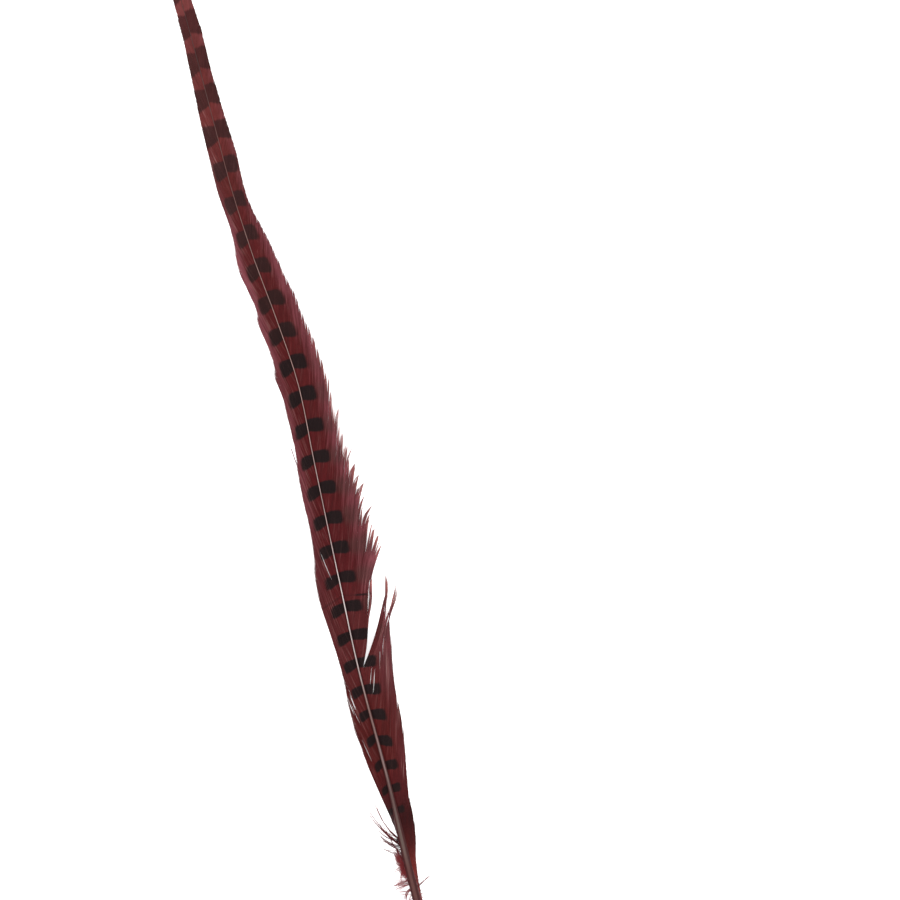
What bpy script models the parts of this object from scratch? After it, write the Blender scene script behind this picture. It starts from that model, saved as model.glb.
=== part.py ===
"""A dyed pheasant tail feather, 572 mm long, lying on a table with its barred side up.

It is made as it grew: one horn shaft, a web of barbs on each side, and down at the foot of the
webs. The wide inner web has sprung apart at one place, so it is two pieces there.

A place on the feather is given by two measures: how far up it is from the quill's end, and how
far across from the straight line that the quill starts on, with the inner web on the + side.
Both are in millimetres until a mesh is made.
"""

import bpy
import numpy as np

# Driving dimensions, in millimetres.
LENGTH = 572.0
QUILL_RADIUS = 2.1
ARCH = 5.0            # how far the middle of the shaft stands off the table
OUTER_LIFT = 1.5      # how far the narrow web's edge stands off it there; the wide one touches
WEB_THICK = 0.5
WEB_RAISED = 0.3      # the web joins the shaft this share of its radius above the axis
DROOP = 1.3           # power of the web's fall from shaft to edge: 1 is straight, more is rounder
GAP = 0.3             # clearance between neighbouring pieces
SHAFT_END = 569.0     # the barbs of the tip reach a little past the shaft
SPLIT = 150.3         # where the inner web has come apart
DOWN_THICK = 3.4
DOWN_MIDDLE = 1.95    # height of the middle of the down above the table
DOWN_REACH = -15.5    # furthest left that any piece goes
TORN_REACH = 29.5     # furthest right that any piece goes

MM = 0.001
ACROSS_MIDDLE = (DOWN_REACH + TORN_REACH) / 2

# Lines along the feather, as (up, across) stations with a smooth curve between them.
SHAFT_LINE = ((0, -1.2), (45, -0.6), (95, 0.6), (140, 0.4), (195, 2.5), (256, 5.5),
              (294, 7.6), (328, 5.4), (365, 1.8), (405, 0.0), (460, 0.0), (520, -0.4), (572, 0.2))
SHAFT_RADIUS = ((0, 1.5), (6, 1.95), (20, QUILL_RADIUS), (50, 2.05), (100, 1.6), (160, 1.2),
                (250, 0.85), (350, 0.6), (460, 0.4), (572, 0.2))
OUTER_EDGE = ((66, -2.9), (80, -4.3), (100, -7.3), (128, -9.3), (152, -8.0), (190, -9.7),
              (215, -6.0), (250, -4.0), (280, -2.0), (302, -2.8), (311, -1.9), (332, -4.1),
              (360, -6.7), (374, -5.5), (402, -7.0), (440, -6.0), (485, -4.2), (520, -4.3),
              (548, -3.3), (564, -1.6), (572, -0.4))
INNER_EDGE = ((45, 3.3), (60, 5.9), (75, 7.6), (90, 9.6), (118, 14.6), (150, 17.9), (160, 20.5),
              (172, 25.5), (182, TORN_REACH), (200, 22.6), (214, 25.0), (258, 22.4), (300, 21.7),
              (330, 17.8), (350, 14.8), (372, 10.9), (392, 6.6), (425, 6.8), (470, 5.6),
              (520, 4.2), (548, 3.2), (564, 1.8), (572, 0.8))
UPPER_TEAR = ((151, 3.5), (165, 9.6), (180, 13.0), (190, 16.6), (200, 22.6))
LOWER_TEAR = ((SPLIT, 4.0), (161, 10.4), (167, 15.2), (176, 19.0), (188, 25.4))
LOWER_TIP = ((172, 25.5), (182, TORN_REACH), (188, 27.2))
OUTER_DOWN = ((28, -4.2), (38, -9.4), (47, -9.6), (55, -8.4), (64, -10.6), (76, -14.2),
              (84, DOWN_REACH), (91, -14.6))
INNER_DOWN = ((28, 3.6), (36, 7.6), (42, 9.4), (50, 8.6), (61, 7.2))


def through(stations):
    """A cubic curve through the stations that is level at each local high and low, so it never
    swings past them. Returns it as a function of up."""
    up, across = np.array(stations, float).T
    step = np.diff(up)
    rise = np.diff(across) / step
    slope = np.zeros(len(up))
    slope[[0, -1]] = rise[[0, -1]]
    together = rise[:-1] * rise[1:] > 0
    before, after = rise[:-1][together], rise[1:][together]
    slope[1:-1][together] = 2 * before * after / (before + after)

    def curve(at):
        at = np.clip(np.asarray(at, float), up[0], up[-1])
        k = np.clip(np.searchsorted(up, at, side="right") - 1, 0, len(step) - 1)
        t = (at - up[k]) / step[k]
        return (across[k] * (1 + 2 * t) * (1 - t) ** 2 + across[k + 1] * (3 - 2 * t) * t**2
                + step[k] * t * (1 - t) * (slope[k] * (1 - t) - slope[k + 1] * t))

    return curve


shaft_line, shaft_radius = through(SHAFT_LINE), through(SHAFT_RADIUS)
outer_edge, inner_edge = through(OUTER_EDGE), through(INNER_EDGE)
upper_tear, lower_tear, lower_tip = through(UPPER_TEAR), through(LOWER_TEAR), through(LOWER_TIP)
outer_down, inner_down = through(OUTER_DOWN), through(INNER_DOWN)


def rows(first, last, count):
    """Evenly spaced rows up the feather, from the first station of one line to the last of
    another."""
    return np.linspace(first[0][0], last[-1][0], count)


def arch(up):
    """Half a sine wave: 0 at both ends of the feather and 1 in the middle."""
    return np.sin(np.pi * up / LENGTH)


def shaft_height(up):
    """Height of the shaft's axis: it rests on the table at both ends and arches between."""
    return shaft_radius(up) + ARCH * arch(up)


def web_height(up, across):
    """Height of a web's middle surface: a roof that falls from the shaft to its edge on a power
    curve of the distance across. The inner edge lies on the table all the way."""
    out = across - shaft_line(up)
    reach = np.where(out > 0, inner_edge(up), outer_edge(up)) - shaft_line(up)
    share = np.clip(out / reach, 0, 1)
    ridge = shaft_height(up) + WEB_RAISED * shaft_radius(up)
    edge = WEB_THICK / 2 + np.where(out > 0, 0, OUTER_LIFT * arch(up))
    return ridge - (ridge - edge) * share**DROOP


def beside_shaft(side):
    """The line that clears the shaft on its outer (-1) or inner (+1) side."""
    return lambda up: shaft_line(up) + side * (shaft_radius(up) + GAP)


def material(name, colour, roughness):
    made = bpy.data.materials.new(name)
    made.use_nodes = True
    shader = made.node_tree.nodes["Principled BSDF"]
    shader.inputs["Base Color"].default_value = (*colour, 1)
    shader.inputs["Roughness"].default_value = roughness
    shader.inputs["Metallic"].default_value = 0
    made.diffuse_color = (*colour, 1)
    return made


def place(up, across, height):
    """Feather measures to scene metres: the box's middle is over the origin, the tip at +Y."""
    return np.stack([across - ACROSS_MIDDLE, up - LENGTH / 2, height], axis=-1) * MM


def make_shaft(collection, finish):
    """Quill and shaft in one: a tapering tube along the arched line, closed at both ends. Rows
    are close together where the quill's end rounds off."""
    up = np.concatenate([[0, 2, 6, 12], np.linspace(20, SHAFT_END, 56)])
    curve = bpy.data.curves.new("shaft", "CURVE")
    curve.dimensions = "3D"
    curve.bevel_depth = MM
    curve.bevel_resolution = 3
    curve.use_fill_caps = True
    spline = curve.splines.new("POLY")
    spline.points.add(len(up) - 1)
    places = place(up, shaft_line(up), shaft_height(up))
    for point, co, radius in zip(spline.points, places, shaft_radius(up)):
        point.co = (*co, 1)
        point.radius = radius
    curve.materials.append(finish)
    collection.objects.link(bpy.data.objects.new("shaft", curve))


def make_plate(collection, name, finish, up, near, far, thick, height=None):
    """A plate between two lines, near and far, over the given rows: a grid of quads that Solidify
    gives its thickness. It follows web_height unless a level height is given."""
    columns = 6
    share = np.linspace(0, 1, columns)
    across = near(up)[:, None] * (1 - share) + far(up)[:, None] * share
    ups = np.broadcast_to(up[:, None], across.shape)
    heights = web_height(ups, across) if height is None else np.full(across.shape, height)
    corner = np.arange(len(up) - 1)[:, None] * columns + np.arange(columns - 1)
    quads = np.stack([corner, corner + 1, corner + columns + 1, corner + columns], axis=-1)
    if across[1, -1] < across[1, 0]:
        quads = quads[..., ::-1]
    mesh = bpy.data.meshes.new(name)
    mesh.from_pydata(place(ups, across, heights).reshape(-1, 3).tolist(), [],
                     quads.reshape(-1, 4).tolist())
    mesh.materials.append(finish)
    plate = bpy.data.objects.new(name, mesh)
    collection.objects.link(plate)
    solidify = plate.modifiers.new("Thickness", "SOLIDIFY")
    solidify.thickness = thick * MM
    solidify.offset = 0


def make_webs(collection, finish):
    """The narrow outer web, and the wide inner one above and below the place where it has split.
    The lower part leans out over the split as a torn lock."""
    def upper_edge(up):
        return np.where(up < UPPER_TEAR[-1][0], upper_tear(up), inner_edge(up))

    def lower_near(up):
        return np.where(up < SPLIT, beside_shaft(1)(up), lower_tear(up))

    def lower_edge(up):
        return np.where(up < LOWER_TIP[0][0], inner_edge(up), lower_tip(up))

    whole = np.linspace(INNER_EDGE[0][0], SPLIT - GAP, 18)
    torn = rows(LOWER_TEAR, LOWER_TEAR, 11)
    make_plate(collection, "outer_web", finish, rows(OUTER_EDGE, OUTER_EDGE, 70),
               beside_shaft(-1), outer_edge, WEB_THICK)
    make_plate(collection, "inner_web_upper", finish, rows(UPPER_TEAR, INNER_EDGE, 90),
               beside_shaft(1), upper_edge, WEB_THICK)
    make_plate(collection, "inner_web_lower", finish, np.concatenate([whole, torn]),
               lower_near, lower_edge, WEB_THICK)


def make_down(collection, finish):
    """Two pads that reach the tips of the loose down at the foot of each web. Each lies beside
    the quill, and further up beside its web."""
    def outer_near(up):
        return np.where(up < OUTER_EDGE[0][0], beside_shaft(-1)(up), outer_edge(up) - 2 * GAP)

    def inner_near(up):
        return np.where(up < INNER_EDGE[0][0], beside_shaft(1)(up), inner_edge(up) + 2 * GAP)

    make_plate(collection, "outer_down", finish, rows(OUTER_DOWN, OUTER_DOWN, 14),
               outer_near, outer_down, DOWN_THICK, DOWN_MIDDLE)
    make_plate(collection, "inner_down", finish, rows(INNER_DOWN, INNER_DOWN, 10),
               inner_near, inner_down, DOWN_THICK, DOWN_MIDDLE)


def main():
    for thing in list(bpy.data.objects):
        bpy.data.objects.remove(thing)
    feather = bpy.data.collections.new("pheasant_tail_feather")
    bpy.context.scene.collection.children.link(feather)
    make_shaft(feather, material("shaft_horn", (0.16, 0.12, 0.11), 0.4))
    make_webs(feather, material("dyed_web", (0.12, 0.02, 0.025), 0.6))
    make_down(feather, material("dyed_down", (0.3, 0.04, 0.05), 0.8))


main()
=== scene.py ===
"""The looks of a dyed pheasant tail feather: a horn shaft, two webs in which every barb is a closed
strand of its own, and loose down at the quill.

A place on the feather is given by how far up it is from the quill's end and how far across from
the line that the quill starts on, in millimetres, with the wide inner web on the + side. A barb is
followed by its share, 0 at the shaft and 1 at its tip. What a barb is coloured by is where it grew
("grown"), so the bars stay on it where the web has frayed or torn.
"""

import bpy
import numpy as np
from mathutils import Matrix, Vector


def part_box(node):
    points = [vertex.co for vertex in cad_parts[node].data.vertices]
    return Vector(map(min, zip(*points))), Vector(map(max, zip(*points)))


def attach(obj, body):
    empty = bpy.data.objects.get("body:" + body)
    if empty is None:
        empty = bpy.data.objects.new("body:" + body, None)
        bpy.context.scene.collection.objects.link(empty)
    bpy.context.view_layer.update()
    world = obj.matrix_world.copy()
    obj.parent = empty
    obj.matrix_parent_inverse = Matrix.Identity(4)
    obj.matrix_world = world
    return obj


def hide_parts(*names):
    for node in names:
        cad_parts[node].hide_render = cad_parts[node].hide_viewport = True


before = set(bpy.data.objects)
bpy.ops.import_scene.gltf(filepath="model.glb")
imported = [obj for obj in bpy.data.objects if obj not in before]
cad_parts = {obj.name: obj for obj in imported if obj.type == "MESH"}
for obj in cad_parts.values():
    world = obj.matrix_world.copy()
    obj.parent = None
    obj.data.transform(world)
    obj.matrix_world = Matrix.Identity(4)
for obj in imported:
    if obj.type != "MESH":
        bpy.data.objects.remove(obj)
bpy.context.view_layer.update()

MM = 0.001
LENGTH = 572.0
SHAFT_END = 569.0       # the barbs of the tip reach a little past the shaft
ARCH = 5.0              # rise of the shaft's middle off the table
EDGE_HEIGHT = 0.25      # height of a web's edge
OUTER_LIFT = 1.5        # how much further the narrow web's edge rises in the middle
DROOP = 1.3             # power of a web's fall from the shaft to its edge
SHAFT_EDGE = 8.33       # how far across the shaft's box goes, at its bulge
SEAT = 0.55             # height at which the barbs leave the shaft, as a share of its radius
BARB_PITCH = 0.4        # spacing of the barbs' roots along the shaft
BARB_OVERLAP = 1.5      # width of a barb as a share of the room it has
BARB_STATIONS = 15
PLUME_STATIONS = 5
DOWN_ACROSS = (-15.9, 10.5)     # the room that the down has, across and up
DOWN_HEIGHT = (0.1, 4.8)
OUTER, INNER = -1, 1

# Lines along the feather, as (up, value) stations.
SHAFT_LINE = ((0, -1.2), (45, -0.6), (95, 0.6), (140, 0.4), (195, 2.5), (256, 5.5),
              (294, 7.6), (328, 5.4), (365, 1.8), (405, 0.0), (460, 0.0), (520, -0.4), (572, 0.2))
SHAFT_RADIUS = ((0, 1.5), (6, 1.95), (20, 2.1), (50, 2.05), (100, 1.6), (160, 1.2),
                (250, 0.85), (350, 0.6), (460, 0.4), (572, 0.2))
OUTER_EDGE = ((60, -2.2), (70, -2.9), (80, -4.6), (90, -7.0), (100, -7.8), (112, -8.5), (124, -9.6),
              (133, -9.6), (142, -8.7), (152, -8.4), (165, -8.8), (190, -10.1), (200, -9.3),
              (212, -6.8), (225, -5.6), (250, -4.4), (256, -3.7), (261, -2.8), (272, -2.2),
              (284, -2.2), (290, -1.8), (302, -3.3), (307, -2.0), (316, -2.6), (331, -4.6),
              (335.5, -3.5), (345, -5.0), (360, -7.1), (375, -5.7), (400, -7.2), (430, -6.7),
              (455, -5.5), (475, -4.5), (490, -4.3), (520, -4.4), (545, -3.5), (562, -1.8),
              (571, -0.5))
INNER_EDGE = ((26, 1.8), (36, 2.4), (43, 3.2), (50, 4.3), (60, 6.8), (70, 8.4), (80, 8.8),
              (90, 10.2), (103, 12.5), (120, 15.1), (135, 15.8), (150, 18.0), (160, 20.0),
              (175, 22.0), (200, 23.2), (212, 24.3), (230, 23.6), (250, 23.4), (262, 22.0),
              (276, 22.0), (300, 22.3), (320, 19.6), (340, 16.7), (355, 13.8), (370, 11.4),
              (382, 8.3), (392, 6.7), (400, 6.4), (414, 7.1), (436, 6.1), (457, 5.4), (478, 5.7),
              (500, 4.5), (520, 4.3), (545, 3.3), (562, 1.9), (571, 0.6))
# Half width of the shaft's bare back, as a share of its radius.
BARE_BACK = ((0, 0.84), (64, 0.80), (80, 0.64), (98, 0.57), (125, 0.52), (165, 0.37), (572, 0.32))
# Bars: the number of the bar at each place on the shaft, how much of their spacing they fill, and
# how far out from the shaft they go on each web.
INNER_BARS = ((20, -3.7), (64, 0), (76, 1), (87.2, 2), (99.2, 3), (112.4, 4), (125.8, 5), (138.5, 6),
              (211, 11), (289.5, 16), (374.5, 21), (465, 26), (560, 31))
OUTER_BARS = ((20, -3.8), (65, 0), (76.5, 1), (88, 2), (101, 3), (114, 4), (126.8, 5), (139, 6),
              (210.5, 11), (288.3, 16), (372.4, 21), (463, 26), (558, 31))
BAR_FILL = ((60, 0.001), (66, 0.001), (76, 0.34), (98, 0.4), (181, 0.39), (226, 0.43), (257, 0.41),
            (300, 0.48), (357, 0.48), (430, 0.54), (483, 0.68), (520, 0.8), (560, 0.9))
INNER_BAR_REACH = ((76, 3.4), (87, 4.4), (98, 5.9), (125, 6.9), (152, 8.8), (181, 8.2),
                   (257, 8.2), (306, 7.2), (340, 7.2), (357, 6.6), (375, 5.6), (392, 5.0),
                   (410, 6.2), (430, 9), (572, 9))
OUTER_BAR_REACH = ((76, 3.2), (98, 4.0), (125, 5.4), (152, 6.6), (166, 7.2), (181, 7.1),
                   (226, 6.6), (306, 6.6), (340, 6.2), (375, 5.0), (392, 5.6), (410, 6.4),
                   (430, 9), (572, 9))
# How much lower a bar's middle lies for each mm further out.
INNER_BAR_SKEW = ((76, 0.0), (98, 0.1), (111, 0.42), (125, 0.26), (140, 0.16), (572, 0.12))
OUTER_BAR_SKEW = ((76, 0.5), (100, 0.6), (125, 0.35), (160, 0.26), (300, 0.26), (345, 0.34),
                  (375, 0.3), (400, 0.2), (440, 0.1), (572, 0.1))
# How far the thin outer parts of the barbs show paler than the rest.
PALENESS = {
    OUTER: ((95, 0), (180, 0.1), (215, 0.3), (235, 0.55), (300, 0.5), (328, 1.0), (370, 0.95),
            (395, 0.25), (437, 0.05), (480, 0.1), (530, 0)),
    INNER: ((90, 0), (105, 0.2), (118, 0.1), (128, 0.15), (150, 0.45), (200, 0.8), (300, 0.75),
            (368, 0.75), (388, 0.35), (480, 0.3), (530, 0)),
}
# Cotangent of a barb's lean off the shaft, as three terms over the distance out, at stations of
# where its root is: leaving, gained in each mm, lost in each square mm.
LEAN = {
    OUTER: ((40, 3.4, 0.40, 0.0), (568, 3.4, 0.40, 0.0)),
    INNER: ((26, 2.2, 0.16, 0.0), (140, 2.0, 0.16, 0.0), (146, 1.95, 0.33, 0.0174),
            (200, 2.1, 0.30, 0.0160), (222, 2.2, 0.22, 0.0060), (260, 2.3, 0.17, 0.0),
            (568, 2.3, 0.22, 0.0)),
}


def through(stations):
    """A cubic curve through the stations that is level at each local high and low, so it never
    swings past them. Returns it as a function."""
    at, value = np.array(stations, float).T
    step = np.diff(at)
    rise = np.diff(value) / step
    slope = np.zeros(len(at))
    slope[[0, -1]] = rise[[0, -1]]
    together = rise[:-1] * rise[1:] > 0
    before, after = rise[:-1][together], rise[1:][together]
    slope[1:-1][together] = 2 * before * after / (before + after)

    def curve(x):
        x = np.clip(np.asarray(x, float), at[0], at[-1])
        k = np.clip(np.searchsorted(at, x, side="right") - 1, 0, len(step) - 1)
        t = (x - at[k]) / step[k]
        return (value[k] * (1 + 2 * t) * (1 - t) ** 2 + value[k + 1] * (3 - 2 * t) * t**2
                + step[k] * t * (1 - t) * (slope[k] * (1 - t) - slope[k + 1] * t))

    return curve


shaft_line, shaft_radius, bare_back = through(SHAFT_LINE), through(SHAFT_RADIUS), through(BARE_BACK)
web_edge = {OUTER: through(OUTER_EDGE), INNER: through(INNER_EDGE)}
bar_number = {OUTER: through(OUTER_BARS), INNER: through(INNER_BARS)}
bar_fill = through(BAR_FILL)
bar_skew = {OUTER: through(OUTER_BAR_SKEW), INNER: through(INNER_BAR_SKEW)}
bar_reach = {OUTER: through(OUTER_BAR_REACH), INNER: through(INNER_BAR_REACH)}


def ease(x):
    """0 below 0, 1 above 1 and a smooth step between."""
    x = np.clip(x, 0, 1)
    return x * x * (3 - 2 * x)


def arch(up):
    """Half a sine wave: 0 at both ends of the feather and 1 in the middle."""
    return np.sin(np.pi * up / LENGTH)


def shaft_height(up):
    """Height of the shaft's axis: it rests on the table at both ends and arches between."""
    return shaft_radius(up) + ARCH * arch(up)


def web_room(up, side):
    """How wide the web is at this place, from the shaft's bare back to its edge."""
    return side * (web_edge[side](up) - shaft_line(up)) - bare_back(up) * shaft_radius(up)


def web_height(up, out, side):
    """Height of a web at a distance out from the shaft's back: a roof that falls on a power curve
    to an edge near the table."""
    share = np.clip(out / np.maximum(web_room(up, side), 0.4), 0, 1)
    ridge = shaft_height(up) + SEAT * shaft_radius(up)
    edge = EDGE_HEIGHT + (OUTER_LIFT * arch(up) if side == OUTER else 0)
    return ridge - (ridge - edge) * share**DROOP


# The shaft's box in the frame says where the feather lies.
shaft_low, shaft_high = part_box("shaft")


def place(up, across, height):
    """Feather measures to metres in the frame."""
    return np.stack([shaft_high.x + (across - SHAFT_EDGE) * MM, shaft_low.y + up * MM,
                     np.broadcast_to(height, up.shape) * MM], axis=-1)


# Meshes

def put_mesh(name, points, corners, starts, uv, fields, material):
    """An object from arrays: points, the corner list of all faces, where each face starts in it, a
    UV place for each corner, and named values for each point."""
    mesh = bpy.data.meshes.new(name)
    mesh.vertices.add(len(points))
    mesh.vertices.foreach_set("co", np.ascontiguousarray(points, np.float32).ravel())
    mesh.loops.add(len(corners))
    mesh.loops.foreach_set("vertex_index", np.ascontiguousarray(corners, np.int32))
    mesh.polygons.add(len(starts))
    mesh.polygons.foreach_set("loop_start", np.ascontiguousarray(starts, np.int32))
    mesh.update(calc_edges=True)
    layer = mesh.uv_layers.new(name="OFBake")
    layer.data.foreach_set("uv", np.ascontiguousarray(uv, np.float32).ravel())
    for field, values in fields.items():
        attribute = mesh.attributes.new(field, "FLOAT", "POINT")
        attribute.data.foreach_set("value", np.ascontiguousarray(values, np.float32))
    mesh.materials.append(material)
    thing = bpy.data.objects.new(name, mesh)
    bpy.context.scene.collection.objects.link(thing)
    return thing


def strand_piece(name, centre, half_width, thick, share, fields, material, tilt=0.0):
    """Many closed strands in one mesh. centre is (strands, stations, 3) in metres. Each ring has a
    left, a right and a ridge corner: the middle line moved sideways by the half width, and up by
    the thickness. tilt is how much a corner rises for each unit it is moved to +X. The last ring
    closes to a point, and the first is capped. A strand takes its own column of the UV map, with
    its share running up the column."""
    strands, stations = centre.shape[:2]
    forward = np.gradient(centre, axis=1)
    sideways = np.cross(forward, [0.0, 0.0, 1.0])
    sideways /= np.maximum(np.linalg.norm(sideways, axis=-1, keepdims=True), 1e-12)
    reach = sideways * half_width[..., None]
    reach[..., 2] += tilt * reach[..., 0]
    ridge = centre + np.array([0.0, 0.0, 1.0]) * thick[..., None]
    rings = np.stack([centre - reach, centre + reach, ridge], axis=2)[:, :-1]
    per_strand = 3 * (stations - 1) + 1
    points = np.concatenate([rings.reshape(strands, -1, 3), centre[:, -1:]], axis=1)

    ring, corner = np.meshgrid(np.arange(stations - 2), np.arange(3), indexing="ij")
    here, beside = 3 * ring + corner, 3 * ring + (corner + 1) % 3
    quads = np.stack([here, here + 3, beside + 3, beside], axis=-1).reshape(-1, 4)
    last = 3 * (stations - 2)
    tip = np.array([[last + k, per_strand - 1, last + (k + 1) % 3] for k in range(3)])
    cap = np.array([[0, 1, 2]])
    corner_u = np.array([0.0, 1.0, 0.5])
    quad_u = np.stack([corner_u[quads[:, 0] % 3]] * 2 + [corner_u[quads[:, 3] % 3]] * 2, axis=-1)
    quad_station = quads // 3
    tip_u = np.stack([corner_u[tip[:, 0] % 3], np.full(3, 0.5), corner_u[tip[:, 2] % 3]], axis=-1)

    one = np.concatenate([quads.ravel(), tip.ravel(), cap.ravel()])
    sizes = np.concatenate([np.full(len(quads), 4), np.full(len(tip) + 1, 3)])
    corners = (one[None] + per_strand * np.arange(strands)[:, None]).ravel()
    starts = np.concatenate([[0], np.cumsum(np.tile(sizes, strands))[:-1]])
    u = np.concatenate([quad_u.ravel(), tip_u.ravel(), corner_u])
    tip_station = np.tile([stations - 2, stations - 1, stations - 2], 3)
    station = np.concatenate([quad_station.ravel(), tip_station, [0, 0, 1]])
    uv = np.stack([(np.arange(strands)[:, None] + u) / strands, share[:, station]], axis=-1)
    spread = {field: np.concatenate([np.repeat(values[:, :-1], 3, axis=1), values[:, -1:]],
                                    axis=1).ravel() for field, values in fields.items()}
    return put_mesh(name, points.reshape(-1, 3), corners, starts, uv.reshape(-1, 2), spread, material)


# Materials

def colour(code):
    """sRGB hex to linear colour with alpha."""
    parts = [int(code[i:i + 2], 16) / 255 for i in (1, 3, 5)]
    return (*[c / 12.92 if c <= 0.04045 else ((c + 0.055) / 1.055) ** 2.4 for c in parts], 1.0)


def node(tree, kind, settings=None, inputs=None):
    """Adds a node, sets its properties, and gives each input a value or a link."""
    made = tree.nodes.new(kind)
    for name, value in (settings or {}).items():
        setattr(made, name, value)
    for name, value in (inputs or {}).items():
        if isinstance(value, bpy.types.NodeSocket):
            tree.links.new(value, made.inputs[name])
        else:
            made.inputs[name].default_value = value
    return made


def start_material(name, *fields):
    """A new material, its node tree, its shader, and a socket for each named value that the mesh's
    points carry."""
    made = bpy.data.materials.new(name)
    made.use_nodes = True
    tree = made.node_tree
    given = [node(tree, "ShaderNodeAttribute", {"attribute_name": field}).outputs["Fac"]
             for field in fields]
    return made, tree, tree.nodes["Principled BSDF"], *given


def set_ramp(ramp, stops, smooth=True):
    """Fills a colour ramp with (place, colour) stops."""
    elements = ramp.color_ramp.elements
    ramp.color_ramp.interpolation = "EASE" if smooth else "LINEAR"
    while len(elements) < len(stops):
        elements.new(0.5)
    for element, (at, value) in zip(elements, stops):
        element.position = at
        element.color = value


def dyed_web_material():
    """Feather keratin dyed burgundy in a bath: the brown of the bars takes the dye as near black,
    the buff ground as burgundy, and the thin outer barbs as mauve. Combed barbs give it a soft
    silky gloss and fine streaks that run along them."""
    (made, tree, shader, root, share, along, edge, bar, bar_out, bar_half, smudged, paleness,
     parting, thin, crease_shade_weight, shade) = start_material(
        "dyed_web_keratin", "root", "share", "along", "edge", "bar", "bar_out", "bar_half", "smudge",
        "paleness", "parting", "thin", "crease_shade_weight", "shade")

    # Streaks whose roots are about 5 mm and 1.6 mm apart, drawn out along the barbs.
    spot = node(tree, "ShaderNodeCombineXYZ", inputs={"X": root, "Y": share})
    streaks = node(tree, "ShaderNodeTexNoise", inputs={
        "Vector": node(tree, "ShaderNodeVectorMath", {"operation": "MULTIPLY"},
                       {0: spot.outputs[0], 1: (0.2, 1.6, 1)}).outputs[0],
        "Scale": 1, "Detail": 4, "Roughness": 0.7}).outputs["Fac"]
    fine = node(tree, "ShaderNodeTexNoise", inputs={
        "Vector": node(tree, "ShaderNodeVectorMath", {"operation": "MULTIPLY"},
                       {0: spot.outputs[0], 1: (0.62, 2.5, 1)}).outputs[0],
        "Scale": 1, "Detail": 2}).outputs["Fac"]

    ground = node(tree, "ShaderNodeValToRGB", inputs={"Fac": along})
    set_ramp(ground, [(0.05, colour("#5a1512")), (0.085, colour("#551410")), (0.105, colour("#380b0b")),
                      (0.125, colour("#2c0708")), (0.15, colour("#421012")), (0.185, colour("#45100f")),
                      (0.30, colour("#491819")), (0.355, colour("#440e11")), (0.46, colour("#460f11")),
                      (0.56, colour("#451112")), (0.66, colour("#481415")), (0.70, colour("#4c1a19")),
                      (0.76, colour("#5a2423")), (0.80, colour("#562322")), (0.86, colour("#65302f")),
                      (0.92, colour("#381514")), (0.99, colour("#1c0c0c"))])
    ink = node(tree, "ShaderNodeValToRGB", inputs={"Fac": along})
    set_ramp(ink, [(0.14, colour("#1a0a0a")), (0.22, colour("#170b0c")), (0.52, colour("#170b0c")),
                   (0.60, colour("#271211")), (0.70, colour("#301818")), (0.80, colour("#3a1a19")),
                   (0.86, colour("#401c1c")), (0.96, colour("#190a0a"))])

    # A bar is a rounded block: the fourth-power norm of the distance from its middle along the
    # shaft and of the distance out from the shaft, each as a share of the block's own.
    wobble = node(tree, "ShaderNodeMath", {"operation": "MULTIPLY_ADD"}, {0: fine, 1: 0.3, 2: -0.15})
    whole = node(tree, "ShaderNodeMath", {"operation": "ADD"}, {0: bar, 1: 0.5})
    part = node(tree, "ShaderNodeMath", {"operation": "FRACT"}, {0: whole.outputs[0]})
    off = node(tree, "ShaderNodeMath", {"operation": "SUBTRACT"}, {0: part.outputs[0], 1: 0.5})
    off = node(tree, "ShaderNodeMath", {"operation": "ABSOLUTE"}, {0: off.outputs[0]})
    off = node(tree, "ShaderNodeMath", {"operation": "DIVIDE"}, {0: off.outputs[0], 1: bar_half})
    lengthwise = node(tree, "ShaderNodeMath", {"operation": "POWER"}, {0: off.outputs[0], 1: 4})
    outwards = node(tree, "ShaderNodeMath", {"operation": "POWER"}, {0: bar_out, 1: 4})
    both = node(tree, "ShaderNodeMath", {"operation": "ADD"},
                {0: lengthwise.outputs[0], 1: outwards.outputs[0]})
    norm = node(tree, "ShaderNodeMath", {"operation": "POWER"}, {0: both.outputs[0], 1: 1 / 4})
    norm = node(tree, "ShaderNodeMath", {"operation": "ADD"}, {0: norm.outputs[0], 1: wobble.outputs[0]})
    barred = node(tree, "ShaderNodeMapRange", {"interpolation_type": "SMOOTHSTEP"},
                  {"Value": norm.outputs[0], "From Min": 1.12, "From Max": 0.88})
    # Past the end of a bar on the wide web a faint smudge goes on to the edge.
    smudge = node(tree, "ShaderNodeMapRange", {"interpolation_type": "SMOOTHSTEP"},
                  {"Value": off.outputs[0], "From Min": 1.6, "From Max": 0.3})
    smudge = node(tree, "ShaderNodeMath", {"operation": "MULTIPLY"},
                  {0: smudge.outputs[0], 1: smudged})

    ragged = node(tree, "ShaderNodeMath", {"operation": "MULTIPLY_ADD"}, {0: streaks, 1: 1.1, 2: -0.55})
    ragged = node(tree, "ShaderNodeMath", {"operation": "ADD"}, {0: edge, 1: ragged.outputs[0]})
    pale = node(tree, "ShaderNodeMapRange", {"interpolation_type": "SMOOTHSTEP"},
                {"Value": ragged.outputs[0], "From Min": 0.4, "From Max": 0.92, "To Max": 0.9})
    pale = node(tree, "ShaderNodeMath", {"operation": "MULTIPLY"}, {0: pale.outputs[0], 1: paleness})
    shown = node(tree, "ShaderNodeMix", {"data_type": "RGBA"},
                 {0: pale.outputs[0], 6: ground.outputs[0], 7: colour("#733d44")})
    shown = node(tree, "ShaderNodeMix", {"data_type": "RGBA"},
                 {0: smudge.outputs[0], 6: shown.outputs[2], 7: colour("#3a2724")})
    shown = node(tree, "ShaderNodeMix", {"data_type": "RGBA"},
                 {0: barred.outputs[0], 6: shown.outputs[2], 7: ink.outputs[0]})
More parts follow.
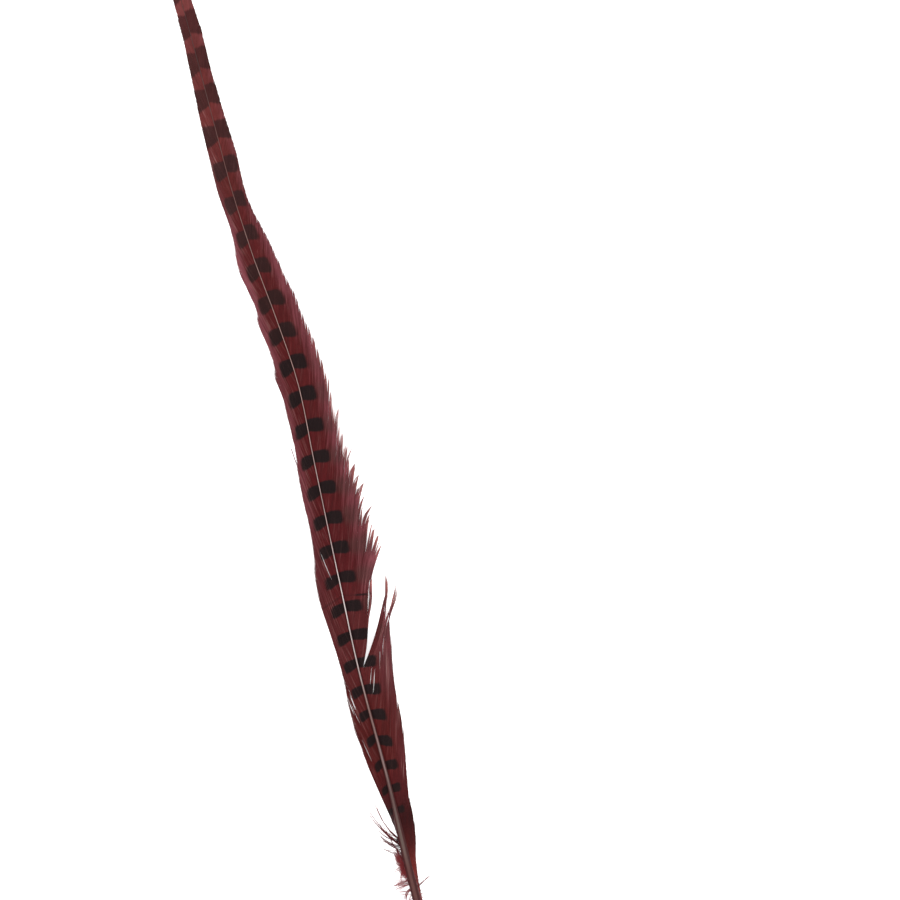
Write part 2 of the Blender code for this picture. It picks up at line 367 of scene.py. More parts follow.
    # Where barbs have slid apart, their bare sides show as greyish lines.
    parted = node(tree, "ShaderNodeMapRange", {"interpolation_type": "SMOOTHSTEP"},
                  {"Value": fine, "From Min": 0.54, "From Max": 0.7, "To Max": 0.65})
    parted = node(tree, "ShaderNodeMath", {"operation": "MULTIPLY"}, {0: parted.outputs[0], 1: parting})
    bare = node(tree, "ShaderNodeMath", {"operation": "MULTIPLY_ADD"},
                {0: barred.outputs[0], 1: -0.85, 2: 1.0})
    parted = node(tree, "ShaderNodeMath", {"operation": "MULTIPLY", "use_clamp": True},
                  {0: parted.outputs[0], 1: bare.outputs[0]})
    shown = node(tree, "ShaderNodeMix", {"data_type": "RGBA"},
                 {0: parted.outputs[0], 6: shown.outputs[2], 7: colour("#7b5a57")})
    # The thin tips of frayed barbs let light through: painted light, a pale colour in place of the light
    # that shines through them.
    shown = node(tree, "ShaderNodeMix", {"data_type": "RGBA"},
                 {0: thin, 6: shown.outputs[2], 7: colour("#a0655f")})
    # Painted shade of a crease that lies across the webs: a dark line that bends down a little towards the
    # edge.
    crease_shade_line = node(tree, "ShaderNodeMath", {"operation": "MULTIPLY_ADD"}, {0: edge, 1: -0.007, 2: 0.3262})
    crease_shade_line = node(tree, "ShaderNodeMath", {"operation": "SUBTRACT"}, {0: along, 1: crease_shade_line.outputs[0]})
    crease_shade_line = node(tree, "ShaderNodeMath", {"operation": "ABSOLUTE"}, {0: crease_shade_line.outputs[0]})
    crease_shade_line = node(tree, "ShaderNodeMapRange", {"interpolation_type": "SMOOTHSTEP"},
                  {"Value": crease_shade_line.outputs[0], "From Min": 0.0014, "From Max": 0.0004, "To Max": 0.9})
    crease_shade_line = node(tree, "ShaderNodeMath", {"operation": "MULTIPLY"}, {0: crease_shade_line.outputs[0], 1: crease_shade_weight})
    shown = node(tree, "ShaderNodeMix", {"data_type": "RGBA"},
                 {0: crease_shade_line.outputs[0], 6: shown.outputs[2], 7: colour("#1c0c0e")})
    # Both kinds of streak lighten and darken the whole.
    light = node(tree, "ShaderNodeMath", {"operation": "MULTIPLY_ADD"}, {0: streaks, 1: 1.1, 2: 0.45})
    finely = node(tree, "ShaderNodeMath", {"operation": "MULTIPLY_ADD"}, {0: fine, 1: 0.7, 2: 0.65})
    light = node(tree, "ShaderNodeMath", {"operation": "MULTIPLY"},
                 {0: light.outputs[0], 1: finely.outputs[0]})
    # Painted shade: the narrow web is darker next to the shaft, up to about 135 mm from the quill's end.
    light = node(tree, "ShaderNodeMath", {"operation": "MULTIPLY"}, {0: light.outputs[0], 1: shade})
    tinted = node(tree, "ShaderNodeVectorMath", {"operation": "SCALE"},
                  {0: shown.outputs[2], "Scale": light.outputs[0]})
    tree.links.new(tinted.outputs[0], shader.inputs["Base Color"])
    rough = node(tree, "ShaderNodeMapRange", inputs={"Value": streaks, "To Min": 0.48, "To Max": 0.68})
    tree.links.new(rough.outputs[0], shader.inputs["Roughness"])
    shader.inputs["IOR"].default_value = 1.54
    shader.inputs["Specular IOR Level"].default_value = 0.07
    return made


def shaft_horn_material():
    """Keratin horn, smooth and a little glossy: the dye stays thin on the hard back, which shows grey, and
    gathers dark in the sides and in the pores of the quill.
    Painted light lies over this: painted sheen and a painted highlight on the back, and painted shade on
    the sides of the round shaft, most of all on the inner side, which faces away from the key light."""
    made, tree, shader, along, around, aside = start_material("shaft_horn", "along", "around", "aside")
    spot = node(tree, "ShaderNodeCombineXYZ", inputs={"X": aside, "Y": along})
    # Grain drawn out along the shaft, about 0.4 mm wide and 12 mm long.
    grain = node(tree, "ShaderNodeTexNoise", inputs={
        "Vector": node(tree, "ShaderNodeVectorMath", {"operation": "MULTIPLY"},
                       {0: spot.outputs[0], 1: (3.4, 40, 1)}).outputs[0],
        "Scale": 1, "Detail": 4, "Roughness": 0.65}).outputs["Fac"]
    # The back's own grey along the shaft, with painted sheen: every stop is raised a little in place of a
    # stronger gloss. The bright stops from 0.28 to 0.385 are partly its paler back and partly a painted
    # highlight.
    back = node(tree, "ShaderNodeValToRGB", inputs={"Fac": along})
    set_ramp(back, [(0.0, colour("#4f3330")), (0.075, colour("#4d322f")), (0.105, colour("#52433f")),
                    (0.15, colour("#51403d")), (0.18, colour("#685553")), (0.225, colour("#69534f")),
                    (0.28, colour("#9b8e8c")), (0.33, colour("#afa4a2")), (0.385, colour("#8b7876")),
                    (0.56, colour("#8e736d")), (0.62, colour("#876d68")), (0.70, colour("#6e4d49")),
                    (0.84, colour("#4b3a38")), (0.97, colour("#36201e"))])
    # The dark red of the sides along the shaft: dye, and painted shade where the round shaft turns away
    # from the light.
    sides = node(tree, "ShaderNodeValToRGB", inputs={"Fac": along})
    set_ramp(sides, [(0.0, colour("#36100e")), (0.075, colour("#310b0b")), (0.2, colour("#2f1110")),
                     (0.3, colour("#33201f")), (0.5, colour("#3c2725")), (0.97, colour("#241413"))])
    # How far round from the middle of the back the dark of the sides starts, dye and painted shade
    # together: the bare back narrows up the shaft.
    start = node(tree, "ShaderNodeMapRange", inputs={
        "Value": along, "From Min": 0.12, "From Max": 0.3, "To Min": 0.22, "To Max": 0.4})
    wander = node(tree, "ShaderNodeMath", {"operation": "MULTIPLY_ADD"}, {0: grain, 1: 1.0, 2: -0.5})
    across = node(tree, "ShaderNodeMath", {"operation": "ADD"}, {0: around, 1: wander.outputs[0]})
    across = node(tree, "ShaderNodeMath", {"operation": "SUBTRACT"},
                  {0: across.outputs[0], 1: start.outputs[0]})
    # Painted shade: the dark sides reach further in on the + side, which faces away from the key light,
    # and less far on the - side.
    across = node(tree, "ShaderNodeMath", {"operation": "MULTIPLY_ADD"},
                  {0: aside, 1: 0.13, 2: across.outputs[0]})
    to_side = node(tree, "ShaderNodeMapRange", {"interpolation_type": "SMOOTHSTEP"},
                   {"Value": across.outputs[0], "From Min": 0.0, "From Max": 0.4})
    shown = node(tree, "ShaderNodeMix", {"data_type": "RGBA"},
                 {0: to_side.outputs[0], 6: back.outputs[0], 7: sides.outputs[0]})
    light = node(tree, "ShaderNodeMath", {"operation": "MULTIPLY_ADD"}, {0: grain, 1: 1.8, 2: 0.1})
    tinted = node(tree, "ShaderNodeVectorMath", {"operation": "SCALE"},
                  {0: shown.outputs[2], "Scale": light.outputs[0]})
    tree.links.new(tinted.outputs[0], shader.inputs["Base Color"])
    rough = node(tree, "ShaderNodeMapRange", inputs={"Value": grain, "To Min": 0.35, "To Max": 0.55})
    tree.links.new(rough.outputs[0], shader.inputs["Roughness"])
    shader.inputs["IOR"].default_value = 1.54
    shader.inputs["Specular IOR Level"].default_value = 0.08
    return made


def dyed_down_material():
    """Loose down: its fine barbules have no hooks to hold them flat, so it looks soft and matt, and
    it takes the dye bright."""
    made, tree, shader, share, tone, root = start_material("dyed_down", "share", "tone", "root")
    spot = node(tree, "ShaderNodeCombineXYZ", inputs={"X": root, "Y": share})
    patch = node(tree, "ShaderNodeTexNoise", inputs={"Vector": spot.outputs[0], "Scale": 3, "Detail": 2})
    dark = node(tree, "ShaderNodeMix", {"data_type": "RGBA"},
                {0: share, 6: colour("#260c0d"), 7: colour("#4c1c1e")})
    bright = node(tree, "ShaderNodeMix", {"data_type": "RGBA"},
                  {0: share, 6: colour("#6a1d20"), 7: colour("#96383c")})
    shown = node(tree, "ShaderNodeMix", {"data_type": "RGBA"},
                 {0: tone, 6: dark.outputs[2], 7: bright.outputs[2]})
    light = node(tree, "ShaderNodeMath", {"operation": "MULTIPLY_ADD"},
                 {0: patch.outputs["Fac"], 1: 0.6, 2: 0.7})
    tinted = node(tree, "ShaderNodeVectorMath", {"operation": "SCALE"},
                  {0: shown.outputs[2], "Scale": light.outputs[0]})
    tree.links.new(tinted.outputs[0], shader.inputs["Base Color"])
    shader.inputs["Roughness"].default_value = 0.75
    shader.inputs["Specular IOR Level"].default_value = 0.25
    return made


# The shaft

def make_shaft(material):
    """Quill and shaft: a ring of points carried along the arched line. The ring is a circle at the
    quill. Up among the webs its back narrows to a ridge, and its belly has a groove. The quill's
    end rounds in to a small pit."""
    sides, rings = 24, 170
    turn = np.linspace(0, 2 * np.pi, sides, endpoint=False)
    up = np.concatenate([[3.2, 0.6, 0.0, 0.0, 0.5], np.geomspace(1.5, SHAFT_END, rings)])
    scale = np.concatenate([[0.05, 0.34, 0.45, 0.8, 0.97], np.ones(rings)])
    radius = shaft_radius(up) * scale
    webbed = ease((up - 48) / 45)[:, None]
    lift, out = np.cos(turn), np.sin(turn)
    bare = bare_back(up)[:, None]
    narrow = 1 - (1 - bare / 0.84) * ease((lift + 0.25) / 0.7)
    groove = 0.30 * webbed * np.exp(-(out / 0.35) ** 2) * (lift < 0)
    across = shaft_line(up)[:, None] + radius[:, None] * out * narrow
    height = shaft_height(up)[:, None] + radius[:, None] * (lift + groove)
    length = np.broadcast_to(up[:, None], across.shape)
    points = place(length, across, height).reshape(-1, 3)
    rows = len(up)
    inner_end = place(up[:1], shaft_line(up[:1]), shaft_height(up[:1]))
    tip = np.array([SHAFT_END + 0.6])
    tip_end = place(tip, shaft_line(tip), shaft_height(tip))
    points = np.concatenate([points, inner_end, tip_end])

    row, k = np.meshgrid(np.arange(rows - 1), np.arange(sides), indexing="ij")
    here, beside = row * sides + k, row * sides + (k + 1) % sides
    quads = np.stack([here, here + sides, beside + sides, beside], axis=-1).reshape(-1, 4)
    k = np.arange(sides)
    first = np.stack([np.full(sides, rows * sides), k, (k + 1) % sides], axis=-1)
    top = (rows - 1) * sides
    last = np.stack([top + k, np.full(sides, rows * sides + 1), top + (k + 1) % sides], axis=-1)
    corners = np.concatenate([quads.ravel(), first.ravel(), last.ravel()])
    starts = np.concatenate([4 * np.arange(len(quads)),
                             4 * len(quads) + 3 * np.arange(2 * sides)])
    shown_up = np.linspace(0.02, 0.98, rows)
    u = np.concatenate([np.stack([k, k, k + 1, k + 1], axis=-1)[None].repeat(rows - 1, axis=0).ravel(),
                        np.stack([k + 0.5, k, k + 1], axis=-1).ravel(),
                        np.stack([k, k + 0.5, k + 1], axis=-1).ravel()]) / sides
    v = np.concatenate([shown_up[quads // sides].ravel(), np.tile([0.0, 0.02, 0.02], sides),
                        np.tile([0.98, 1.0, 0.98], sides)])
    around = np.clip(np.abs(out * narrow) / bare, 0, 1)
    aside = across - shaft_line(up)[:, None]
    fields = {"along": np.concatenate([(length / LENGTH).ravel(), [0.0, 1.0]]),
              "aside": np.concatenate([aside.ravel(), [0.0, 0.0]]),
              "around": np.concatenate([around.ravel(), [1.0, 0.0]])}
    shaft = put_mesh("Horn_shaft", points, corners, starts, np.stack([u, v], axis=-1), fields, material)
    shaft.data.shade_smooth()
    return shaft


# The webs

def lean_terms(roots, side):
    """The three terms of each barb's lean, read off smooth curves through the stations."""
    stations = np.array(LEAN[side], float)
    return [through(stations[:, [0, term]])(roots)[:, None] for term in (1, 2, 3)]


def advance_at(out, terms):
    """How far a barb has come along the shaft at a distance out: the running sum of its cotangent."""
    leaving, gained, lost = terms
    return out * (leaving + out * (gained / 2 - out * lost / 3))


def full_reach(roots, terms, side, spare, last_up):
    """How far out each barb goes before it passes the web's edge, moved out by spare, or before it
    has come further up than last_up."""
    tried = np.linspace(0.3, 24, 360)[None]
    up = roots[:, None] + advance_at(tried, terms)
    beyond = (tried > web_room(up, side) + spare[:, None]) | (up > last_up[:, None])
    beyond[:, -1] = True
    return tried[0, beyond.argmax(axis=1)]


def lock_ends(first, last, widths, rng):
    """Where the row of barbs parts into locks that stick together, the widths varying by half."""
    ends = [first]
    while ends[-1] < last:
        ends.append(ends[-1] + float(widths(ends[-1])) * rng.uniform(0.5, 1.5))
    return np.array(ends)


def near(roots, places, reach):
    """1 at the given roots and falling to 0 on a bell curve about reach wide."""
    return sum((np.exp(-((roots - place) / reach) ** 2) for place in places), np.zeros_like(roots))


def make_web(name, side, first, last, seed, fray, depth, lock_width, overshoot, slits, material,
             swing=None, last_up=None, extra=None, strays=(), lone=(), parted=(), parting=0.3,
             barred_to=LENGTH + 10, fanned=None):
    """One web, barb by barb, as arrays over (barb, station).

    The roots are a pitch apart, from first to last. A barb goes out to the edge, or until it has
    come up to last_up, and advances along the shaft by advance_at. fray, depth and overshoot are
    stations along the roots: how strongly barbs are drawn towards the middle of their lock, over
    what share of their length from the tip, and how far past the edge the longest lock goes. extra
    adds to that. lock_width is a curve, or the places where locks end. A slit (root, from share,
    to share, width) pushes the barbs above it up and those below it down. swing moves barbs
    outwards, strays go on past the edge alone, and lone barbs are thicker. Barbs rooted before
    fanned grow broader towards their tips. parting is how much of the web shows bare sides of
    barbs, and parted adds to it as (root, reach, from how far out, amount). There are no bars past
    barred_to."""
    rng = np.random.default_rng(seed)
    count = int((last - first) / BARB_PITCH)
    roots = first + (np.arange(count) + rng.uniform(-0.2, 0.2, count)) * BARB_PITCH
    terms = lean_terms(roots, side)
    share = np.linspace(0, 1, BARB_STATIONS)
    share = (share * (1.2 - 0.2 * share))[None].repeat(count, axis=0)
    ends = lock_ends(first, last, lock_width, rng) if callable(lock_width) else np.array(lock_width)
    number = np.clip(np.searchsorted(ends, roots, side="right") - 1, 0, len(ends) - 2)
    middle = (ends[number] + ends[number + 1]) / 2
    amount = through(fray)(roots)
    reach = through(overshoot)(roots)
    draw = rng.uniform(0, 1, (2, len(ends)))[:, number]
    spare = (reach * (draw[0] ** 2 - 0.12) + rng.normal(0, 0.05, count) * (0.6 + 2 * amount * reach)
             + 2.2 * near(roots, strays, 0.8) + (0 if extra is None else through(extra)(roots)))
    stop = np.full(count, LENGTH) if last_up is None else through(last_up)(roots)
    goal = full_reach(roots, terms, side, spare, stop)

    out = goal[:, None] * share
    grown = roots[:, None] + advance_at(out, terms)
    start = 0.95 - through(depth)(roots)
    drawn = ease((share - start[:, None]) / (1 - start)[:, None])
    pull = np.clip(amount * (0.8 + 0.35 * draw[1]), 0, 0.94)
    shift = (middle - roots)[:, None] * pull[:, None] * drawn
    for root, begin, end, width in slits:
        away = roots - root
        swell = np.sin(np.pi * np.clip((share - begin) / (end - begin), 0, 1)) ** 1.5
        shift += (np.sign(away) * width * np.exp(-np.abs(away) / 5))[:, None] * swell
    up = np.minimum(grown + shift, LENGTH)
    moved = (reach * amount * (0.9 * draw[0] - 0.2))[:, None] * drawn**1.5
    if swing is not None:
        moved = moved + swing(roots[:, None], grown)
    moved = moved + (rng.normal(0, 0.04, count) * (0.4 + amount))[:, None] * share**2

    across = shaft_line(up) + side * (0.85 * bare_back(up) * shaft_radius(up) + out + moved)
    height = web_height(up, out + moved, side)
    aside = 0.1
    tilt = side * (web_height(up, out + moved + aside, side) - height) / aside
    height = height + (0.04 * rng.uniform(-1, 1, count) + 0.4 * amount * draw[0])[:, None] * drawn
    height = height + 0.2 * np.sin(grown / 6.1 + 0.4 * out)**2 * ease(share * 2) * ease(out / 3)
    leaving, gained, lost = terms
    steep = 1 / np.hypot(1, leaving + out * (gained - out * lost))
    blunt = np.clip((1.01 - share) / (0.05 + 0.07 * amount[:, None]), 0, 1) ** 0.5
    half = (0.5 * BARB_PITCH * steep * BARB_OVERLAP * (1 - 0.15 * drawn * amount[:, None]) + 0.014) * blunt
    half = half * (1 + 2.4 * near(roots, (*strays, *lone), 0.7))[:, None]
    if fanned:
        half = half * (1 + 0.7 * ease((fanned - roots) / 20)[:, None] * ease((share - 0.5) / 0.3))
    thick = (0.05 + 0.5 * half) * blunt
    centre = place(up, across, height - 0.5 * thick)

    # What the material is told at each point.
    room = np.maximum(web_room(grown, side), 0.5)
    narrow = 0.86 if side == INNER else 0.8
    widen = 0.05 + 0.04 * ease((150 - grown) / 30) if side == INNER else 0.085
    smudge = np.zeros_like(out)
    if side == INNER:
        smudge = 0.5 * ease((grown - 112) / 90) * ease((330 - grown) / 60) * ease(
            (out / bar_reach[side](grown) - 0.8) / 0.4)
    parting = parting * ease((grown - 70) / 60) * ease((500 - grown) / 80) * ease(out / 4)
    if side == INNER:
        parting = parting + 1.3 * np.exp(-((out / room - 0.85) / 0.09) ** 2) * ease(
            (grown - 86) / 10) * ease((178 - grown) / 15)
    for root, breadth, beyond, more in parted:
        parting = parting + more * near(roots, (root,), breadth)[:, None] * ease((out - beyond) / 3)
    # Where the painted light through the thin tips of frayed barbs shows.
    thin = 0.75 * ease((share - 0.84) / 0.16) * ease((amount - 0.35) / 0.4)[:, None]
    # How strongly the painted shade of the crease shows on each web: most on the wide web between 5.5 and
    # 12.5 mm out.
    crease_shade_weight = ease((out - 5.5) / 1.5) * ease((12.5 - out) / 1.5)
    crease_shade_weight = 0.25 + 0.75 * crease_shade_weight if side == INNER else np.full_like(out, 0.35)
    # Painted shade on the narrow web, within about 3.5 mm of the shaft and fading out by 135 mm up.
    shade = 1 - 0.22 * ease((3.5 - out) / 3) * ease((135 - grown) / 30) * (side == OUTER)
    fields = {
        "along": grown / LENGTH, "share": share, "root": np.broadcast_to(roots[:, None], out.shape),
        "edge": np.clip(out / room, 0, 1),
        "bar": bar_number[side](grown + bar_skew[side](grown) * out),
        "bar_half": 0.5 * bar_fill(grown) * narrow * (1 + widen * out),
        "bar_out": out / bar_reach[side](grown) + 3 * ease((grown - barred_to) / 4),
        "smudge": smudge, "paleness": through(PALENESS[side])(grown), "parting": parting,
        "thin": thin, "crease_shade_weight": crease_shade_weight, "shade": shade,
    }
    return strand_piece(name, centre, half * MM, thick * MM, share, fields, material, tilt)


def torn_lock(root, grown):
    """How far the barbs below the tear have swung out. Two strands leave together and part: size
    is how far each barb's tip ends up, and it comes in between begin and begin + span. The right
    strand eases in, and the left one starts at once and slows down, as 1 - (1 - x) squared."""
    size = through(((95, 0), (101, 2), (106, 6), (112, 7.8), (120.5, 8.1), (122.5, 4.2), (134, 6.4),
                    (146, 8.8)))(root)
    begin = through(((101, 159), (106, 157), (120.5, 157), (122.5, 151), (134, 149),
                     (146, 149.6)))(root)
    span = through(((101, 28), (106, 32), (120.5, 32), (122.5, 36), (134, 40), (146, 44)))(root)
    x = np.clip((grown - begin) / span, 0, 1)
    return size * np.where(root < 121.5, ease(x), 1 - (1 - x) ** 2)


def above_tear(root, grown):
    """The barbs next to the tear bow out a little on their way. The first few stand apart, and the
    tips of those after them have fanned out with the torn lock."""
    bow = 0.7 * np.exp((146.5 - root) / 8) * ease((grown - 149) / 12) * ease((190 - grown) / 16)
    apart = 1.3 * np.exp(-np.maximum(root - 146.4, 0) / 0.3) * ease((grown - 171) / 12)
    return bow + apart + 3.0 * ease((170 - root) / 22) * ease((grown - 187) / 24)


# Down

def follow(turn, length, across, up, height, end_height, side):
    """Lines that start at (up, across, height) and keep turning: a running sum of the sine and the
    cosine of the heading. They come to end_height evenly."""
    stations = turn.shape[1]
    ahead = length[:, None] / (stations - 1) * (np.arange(stations) > 0)
    share = np.linspace(0, 1, stations)
    return np.stack([up[:, None] + np.cumsum(np.cos(turn) * ahead, axis=1),
                     across[:, None] + side * np.cumsum(np.sin(turn) * ahead, axis=1),
                     height[:, None] + (end_height - height)[:, None] * share], axis=-1)


def make_down(name, plumes, seed, material):
    """Loose plumes. Each is a bent stem whose heading turns from a first to a last lean off the
    shaft's direction. Barbules leave it to both sides by turns and are shorter towards both ends.
    A row of plumes gives: side, count, roots from and to, lengths from and to, first and last lean,
    how far the lean varies, the barbules' length and number to a mm, the stem's half width, and
    tone from dark to bright."""
    step = np.linspace(0, 1, PLUME_STATIONS)
    lines, halves, tones, rooted = [], [], [], []
    for row, (side, count, low, high, short, long, lean_in, lean_out, vary, barbule, number,
              stem_half, tone) in enumerate(plumes):
        rng = np.random.default_rng((seed, row))
        roots = low + (high - low) * (np.arange(count) + rng.uniform(0.1, 0.9, count)) / count
        length = rng.uniform(short, long, count)
        turn = np.radians(lean_in + (lean_out - lean_in) * step[None] ** 0.7
                          + rng.normal(0, vary, (count, 1)) + rng.normal(0, vary, (count, 1)) * step)
        start_height = shaft_height(roots) + rng.uniform(-0.4, 0.4, count) * shaft_radius(roots)
        stem = follow(turn, length, shaft_line(roots) + side * 0.7 * shaft_radius(roots), roots,
                      start_height, rng.uniform(0.3, 3.2, count), side)
        per_plume = max(2, int(length.mean() * number))
        which = np.repeat(np.arange(count), per_plume)
        at = np.tile((np.arange(per_plume) + 0.7) / per_plume, count)
        slot = np.clip(at, 0, 0.999) * (PLUME_STATIONS - 1)
        k = slot.astype(int)
        base = stem[which, k] + (stem[which, k + 1] - stem[which, k]) * (slot - k)[:, None]
        hand = np.where(np.arange(len(which)) % 2 == 0, 1, -1)
        own = barbule * (0.45 + 0.55 * np.sin(np.pi * at) ** 0.7) * rng.uniform(0.5, 1.1, len(which))
        leave = rng.uniform(30, 60, (len(which), 1)) - rng.uniform(-10, 45, (len(which), 1)) * step
        small = follow(turn[which, k][:, None] + hand[:, None] * np.radians(leave), own, base[:, 1],
                       base[:, 0], base[:, 2], base[:, 2] + rng.uniform(-0.4, 0.5, len(which)), side)
        for group, half, root in ((stem, stem_half * (1 - 0.5 * step), roots),
                                  (small, 0.05 - 0.03 * step, roots[which])):
            lines.append(group)
            halves.append(np.repeat(half[None], len(group), axis=0))
            tones.append(np.full(group.shape[:2], tone))
            rooted.append(np.broadcast_to(root[:, None], group.shape[:2]))
    line, half = np.concatenate(lines), np.concatenate(halves)
    share = np.broadcast_to(step, half.shape)
    centre = place(line[..., 0], np.clip(line[..., 1], *DOWN_ACROSS),
                   np.clip(line[..., 2], *DOWN_HEIGHT))
    fields = {"share": share, "tone": np.concatenate(tones), "root": np.concatenate(rooted)}
    return strand_piece(name, centre, half * MM, 1.2 * half * MM, share, fields, material)


# The table, the light and the camera

def make_table():
    """A plain white table top that glows faintly, as opal glass does with light under it."""
    made, _, shader = start_material("white_table")
    shader.inputs["Base Color"].default_value = colour("#dcdcdc")
    shader.inputs["Roughness"].default_value = 0.9
    shader.inputs["Specular IOR Level"].default_value = 0.1
    shader.inputs["Emission Color"].default_value = (1, 1, 1, 1)
    shader.inputs["Emission Strength"].default_value = 0.8
    mesh = bpy.data.meshes.new("Table")
    size = 6.0
    mesh.from_pydata([(-size, -size, 0), (size, -size, 0), (size, size, 0), (-size, size, 0)], [],
                     [(0, 1, 2, 3)])
    mesh.materials.append(made)
    table = bpy.data.objects.new("Table", mesh)
    bpy.context.scene.collection.objects.link(table)


def make_light(name, location, size, power):
    """A square soft box that faces the middle of the feather."""
    data = bpy.data.lights.new(name, "AREA")
    data.shape = "SQUARE"
    data.size = size
    data.energy = power
    light = bpy.data.objects.new(name, data)
    light.location = location
    light.rotation_euler = (-light.location).to_track_quat("-Z", "Y").to_euler()
    bpy.context.scene.collection.objects.link(light)


def make_sky():
    """A white tent round the table that is brighter at its sides than overhead."""
    world = bpy.data.worlds.new("White_tent")
    world.use_nodes = True
    tree = world.node_tree
    where = node(tree, "ShaderNodeTexCoord").outputs["Generated"]
    high = node(tree, "ShaderNodeSeparateXYZ", inputs={0: where}).outputs["Z"]
    strength = node(tree, "ShaderNodeMapRange", {"interpolation_type": "SMOOTHSTEP"}, {
        "Value": high, "From Min": 0.45, "From Max": 0.95, "To Min": 1.15, "To Max": 0.45})
    background = tree.nodes["Background"]
    background.inputs["Color"].default_value = (1, 1, 1, 1)
    tree.links.new(strength.outputs[0], background.inputs["Strength"])
    bpy.context.scene.world = world


def make_camera():
    """Straight above, on a long lens, and turned so that the feather leans to the left. The frame
    shows 450 mm of the table, so the tip and the quill's end lie just outside it."""
    lean = np.radians(14.75)
    shown = 0.450
    feather_height = 3 * MM
    data = bpy.data.cameras.new("Camera")
    data.lens = 150
    data.sensor_width = 36
    camera = bpy.data.objects.new("Camera", data)
    aim = place(np.array(243.4), np.array(72.5), 0.0)
    camera.location = (aim[0], aim[1], shown * data.lens / data.sensor_width + feather_height)
    camera.rotation_euler = (0, 0, -lean)
    bpy.context.scene.collection.objects.link(camera)
    bpy.context.scene.camera = camera


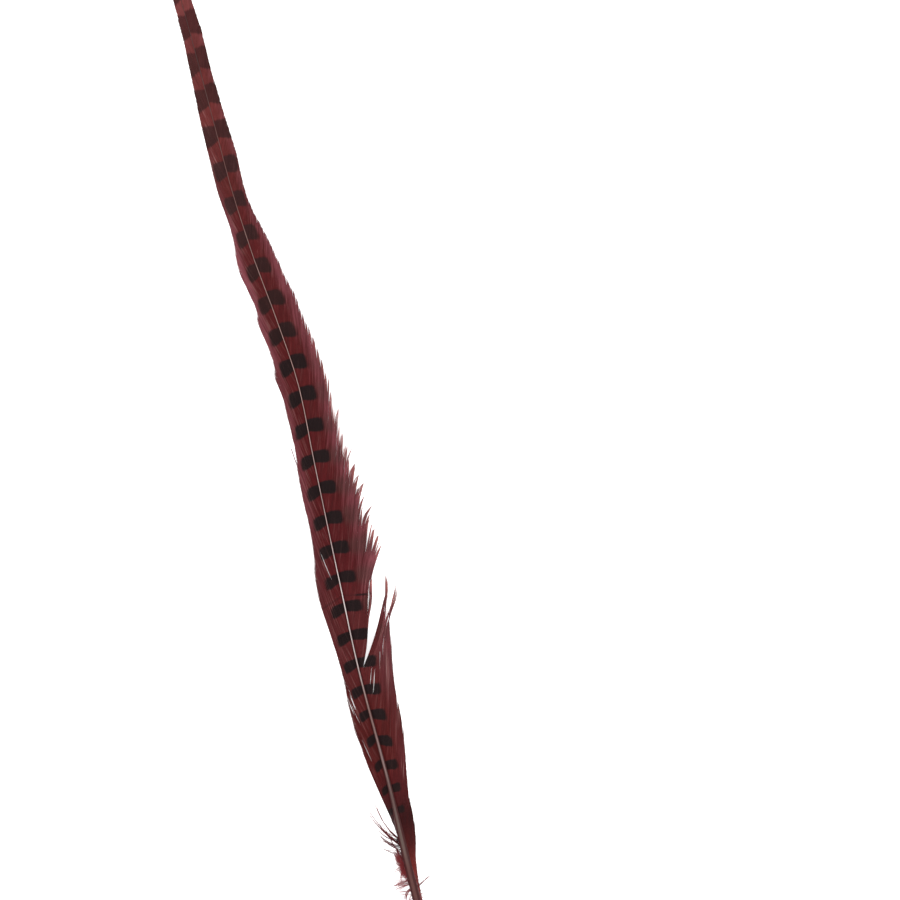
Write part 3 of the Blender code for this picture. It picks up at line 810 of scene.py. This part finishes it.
def main():
    web, horn, down = dyed_web_material(), shaft_horn_material(), dyed_down_material()
    pieces = {
        "shaft": (make_shaft(horn), "shaft_horn"),
        "outer_web": (make_web(
            "Outer_web_barbs", OUTER, 62, 568, 11,
            fray=((62, 0.3), (95, 0.15), (104, 0.3), (112, 0.15), (225, 0.1), (236, 0.3), (243, 0.1),
                  (568, 0.1)), depth=((62, 0.1), (568, 0.05)),
            lock_width=through(((62, 3), (568, 5))), overshoot=((62, 0.4), (120, 0.25), (568, 0.15)),
            slits=((82, 0.45, 0.8, 0.6), (92, 0.82, 0.96, 1.0), (96, 0.6, 0.95, 0.5),
                   (103.5, 0.70, 0.80, 2.2), (182, 0.34, 0.72, 0.8)),
            strays=(210.5,), parting=0.9, material=web), "dyed_web"),
        "inner_web_upper": (make_web(
            "Inner_web_upper_barbs", INNER, 145.5, 568, 23,
            fray=((145.5, 0.9), (160, 1.0), (185, 0.95), (203, 0.9), (225, 0.8), (260, 0.55),
                  (290, 0.42), (330, 0.2), (568, 0.08)),
            depth=((145, 0.2), (160, 0.2), (175, 0.12), (210, 0.09), (568, 0.05)),
            lock_width=through(((145, 2.6), (160, 3.5), (185, 6.5), (240, 5.5), (300, 5), (568, 4))),
            overshoot=((145, 2.4), (165, 3.2), (195, 3.4), (212, 2.0), (260, 0.9), (290, 0.7),
                       (340, 0.3), (568, 0.2)),
            slits=((160, 0.7, 1.0, 1.0),),
            swing=above_tear, last_up=((145.5, 191), (146.6, 191), (146.8, 572), (568, 572)),
            lone=(146,), fanned=176, material=web), "dyed_web"),
        "inner_web_lower": (make_web(
            "Inner_web_lower_barbs", INNER, 26, 145.5, 37,
            fray=((26, 0.2), (90, 0.2), (104, 0.35), (112, 0.7), (146, 0.75)),
            depth=((26, 0.05), (104, 0.1), (112, 0.18), (146, 0.25)),
            lock_width=(26, 40, 52, 62, 74, 84, 94, 104, 112, 121.5, 128, 136, 145.5),
            overshoot=((26, 0.2), (100, 0.3), (115, 0.6), (146, 0.4)),
            slits=((113, 0.58, 0.8, 0.5), (119, 0.5, 0.74, 0.4), (128, 0.2, 0.42, 0.6),
                   (133, 0.15, 0.37, 0.5)),
            swing=torn_lock, extra=((26, 0), (92, 0), (98, 1.2), (104, 2.4), (112, 2.6), (146, 3.5)),
            last_up=((26, 168), (95, 170), (101, 176), (106, 182), (110, 186), (121, 184), (122, 187),
                     (130, 190), (146, 190)), barred_to=157,
            parted=((107, 1.1, 8, 1.6), (112.5, 1.1, 8, 1.6), (118, 1.1, 8, 1.6), (122.5, 0.8, 8, 1.2),
                    (128, 1.3, 1, 1.3), (133, 1.1, 1, 1.1)), material=web), "dyed_web"),
        "outer_down": (make_down("Outer_down_plumes", (
            (OUTER, 4, 58, 62, 13, 16, 80, 24, 5, 0.9, 5, 0.3, 0.1),
            (OUTER, 3, 54, 57.5, 10.5, 12.5, 76, 20, 5, 0.9, 5, 0.3, 0.15),
            (OUTER, 2, 57, 59.5, 27, 29, 48, 17, 1.5, 0.8, 4, 0.26, 0.45),
            (OUTER, 2, 60, 62, 25, 27, 50, 0, 1.5, 0.8, 4, 0.24, 0.5),
            (OUTER, 3, 58, 63, 15, 20, 72, 36, 8, 0.8, 5, 0.13, 0.35),
            (OUTER, 3, 53, 57, 9, 13, 80, 40, 9, 0.8, 5, 0.12, 0.35),
            (OUTER, 24, 40, 51, 5.2, 8, 42, 16, 7, 1.5, 13, 0.16, 0.8),
            (OUTER, 5, 47, 51, 6, 7.5, 60, 28, 5, 1.3, 12, 0.15, 0.85),
            (OUTER, 2, 46, 48, 6, 6.8, 72, 104, 6, 0.8, 9, 0.15, 0.9),
            (OUTER, 3, 45, 48, 6, 7.5, 98, 165, 6, 0.8, 9, 0.16, 0.9),
            (OUTER, 12, 38, 41, 6.4, 8.8, 84, 92, 6, 0.8, 8, 0.1, 1.0),
            (OUTER, 3, 35.6, 36.6, 6.4, 7.2, 92, 165, 4, 0.8, 10, 0.3, 0.85),
            (OUTER, 3, 33, 36, 7, 9, 84, 80, 8, 0.8, 6, 0.09, 1.0),
            (OUTER, 3, 28, 34, 3.5, 5, 96, 125, 12, 0.8, 9, 0.15, 1.0)), 11, down), "dyed_down"),
        "inner_down": (make_down("Inner_down_plumes", (
            (INNER, 2, 35.2, 36.4, 8.6, 9.6, 58, 70, 3, 0.9, 9, 0.17, 0.6),
            (INNER, 34, 25, 51, 2.4, 3.8, 24, 6, 5, 0.5, 8, 0.2, 0.6),
            (INNER, 5, 28, 34, 2, 3, 60, 80, 20, 0.8, 9, 0.12, 0.9),
            (INNER, 3, 40, 46, 2.4, 3.2, 50, 10, 10, 0.6, 8, 0.12, 0.7)), 8, down), "dyed_down"),
    }
    for cad_node, (piece, slot) in pieces.items():
        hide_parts(cad_node)
        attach(piece, "root")

    make_table()
    make_light("Key", (-1.3, 0.9, 1.3), 1.4, 50)
    make_light("Fill", (1.5, -0.6, 1.2), 1.6, 36)
    make_sky()
    bpy.context.scene.view_settings.view_transform = "Standard"
    make_camera()


main()
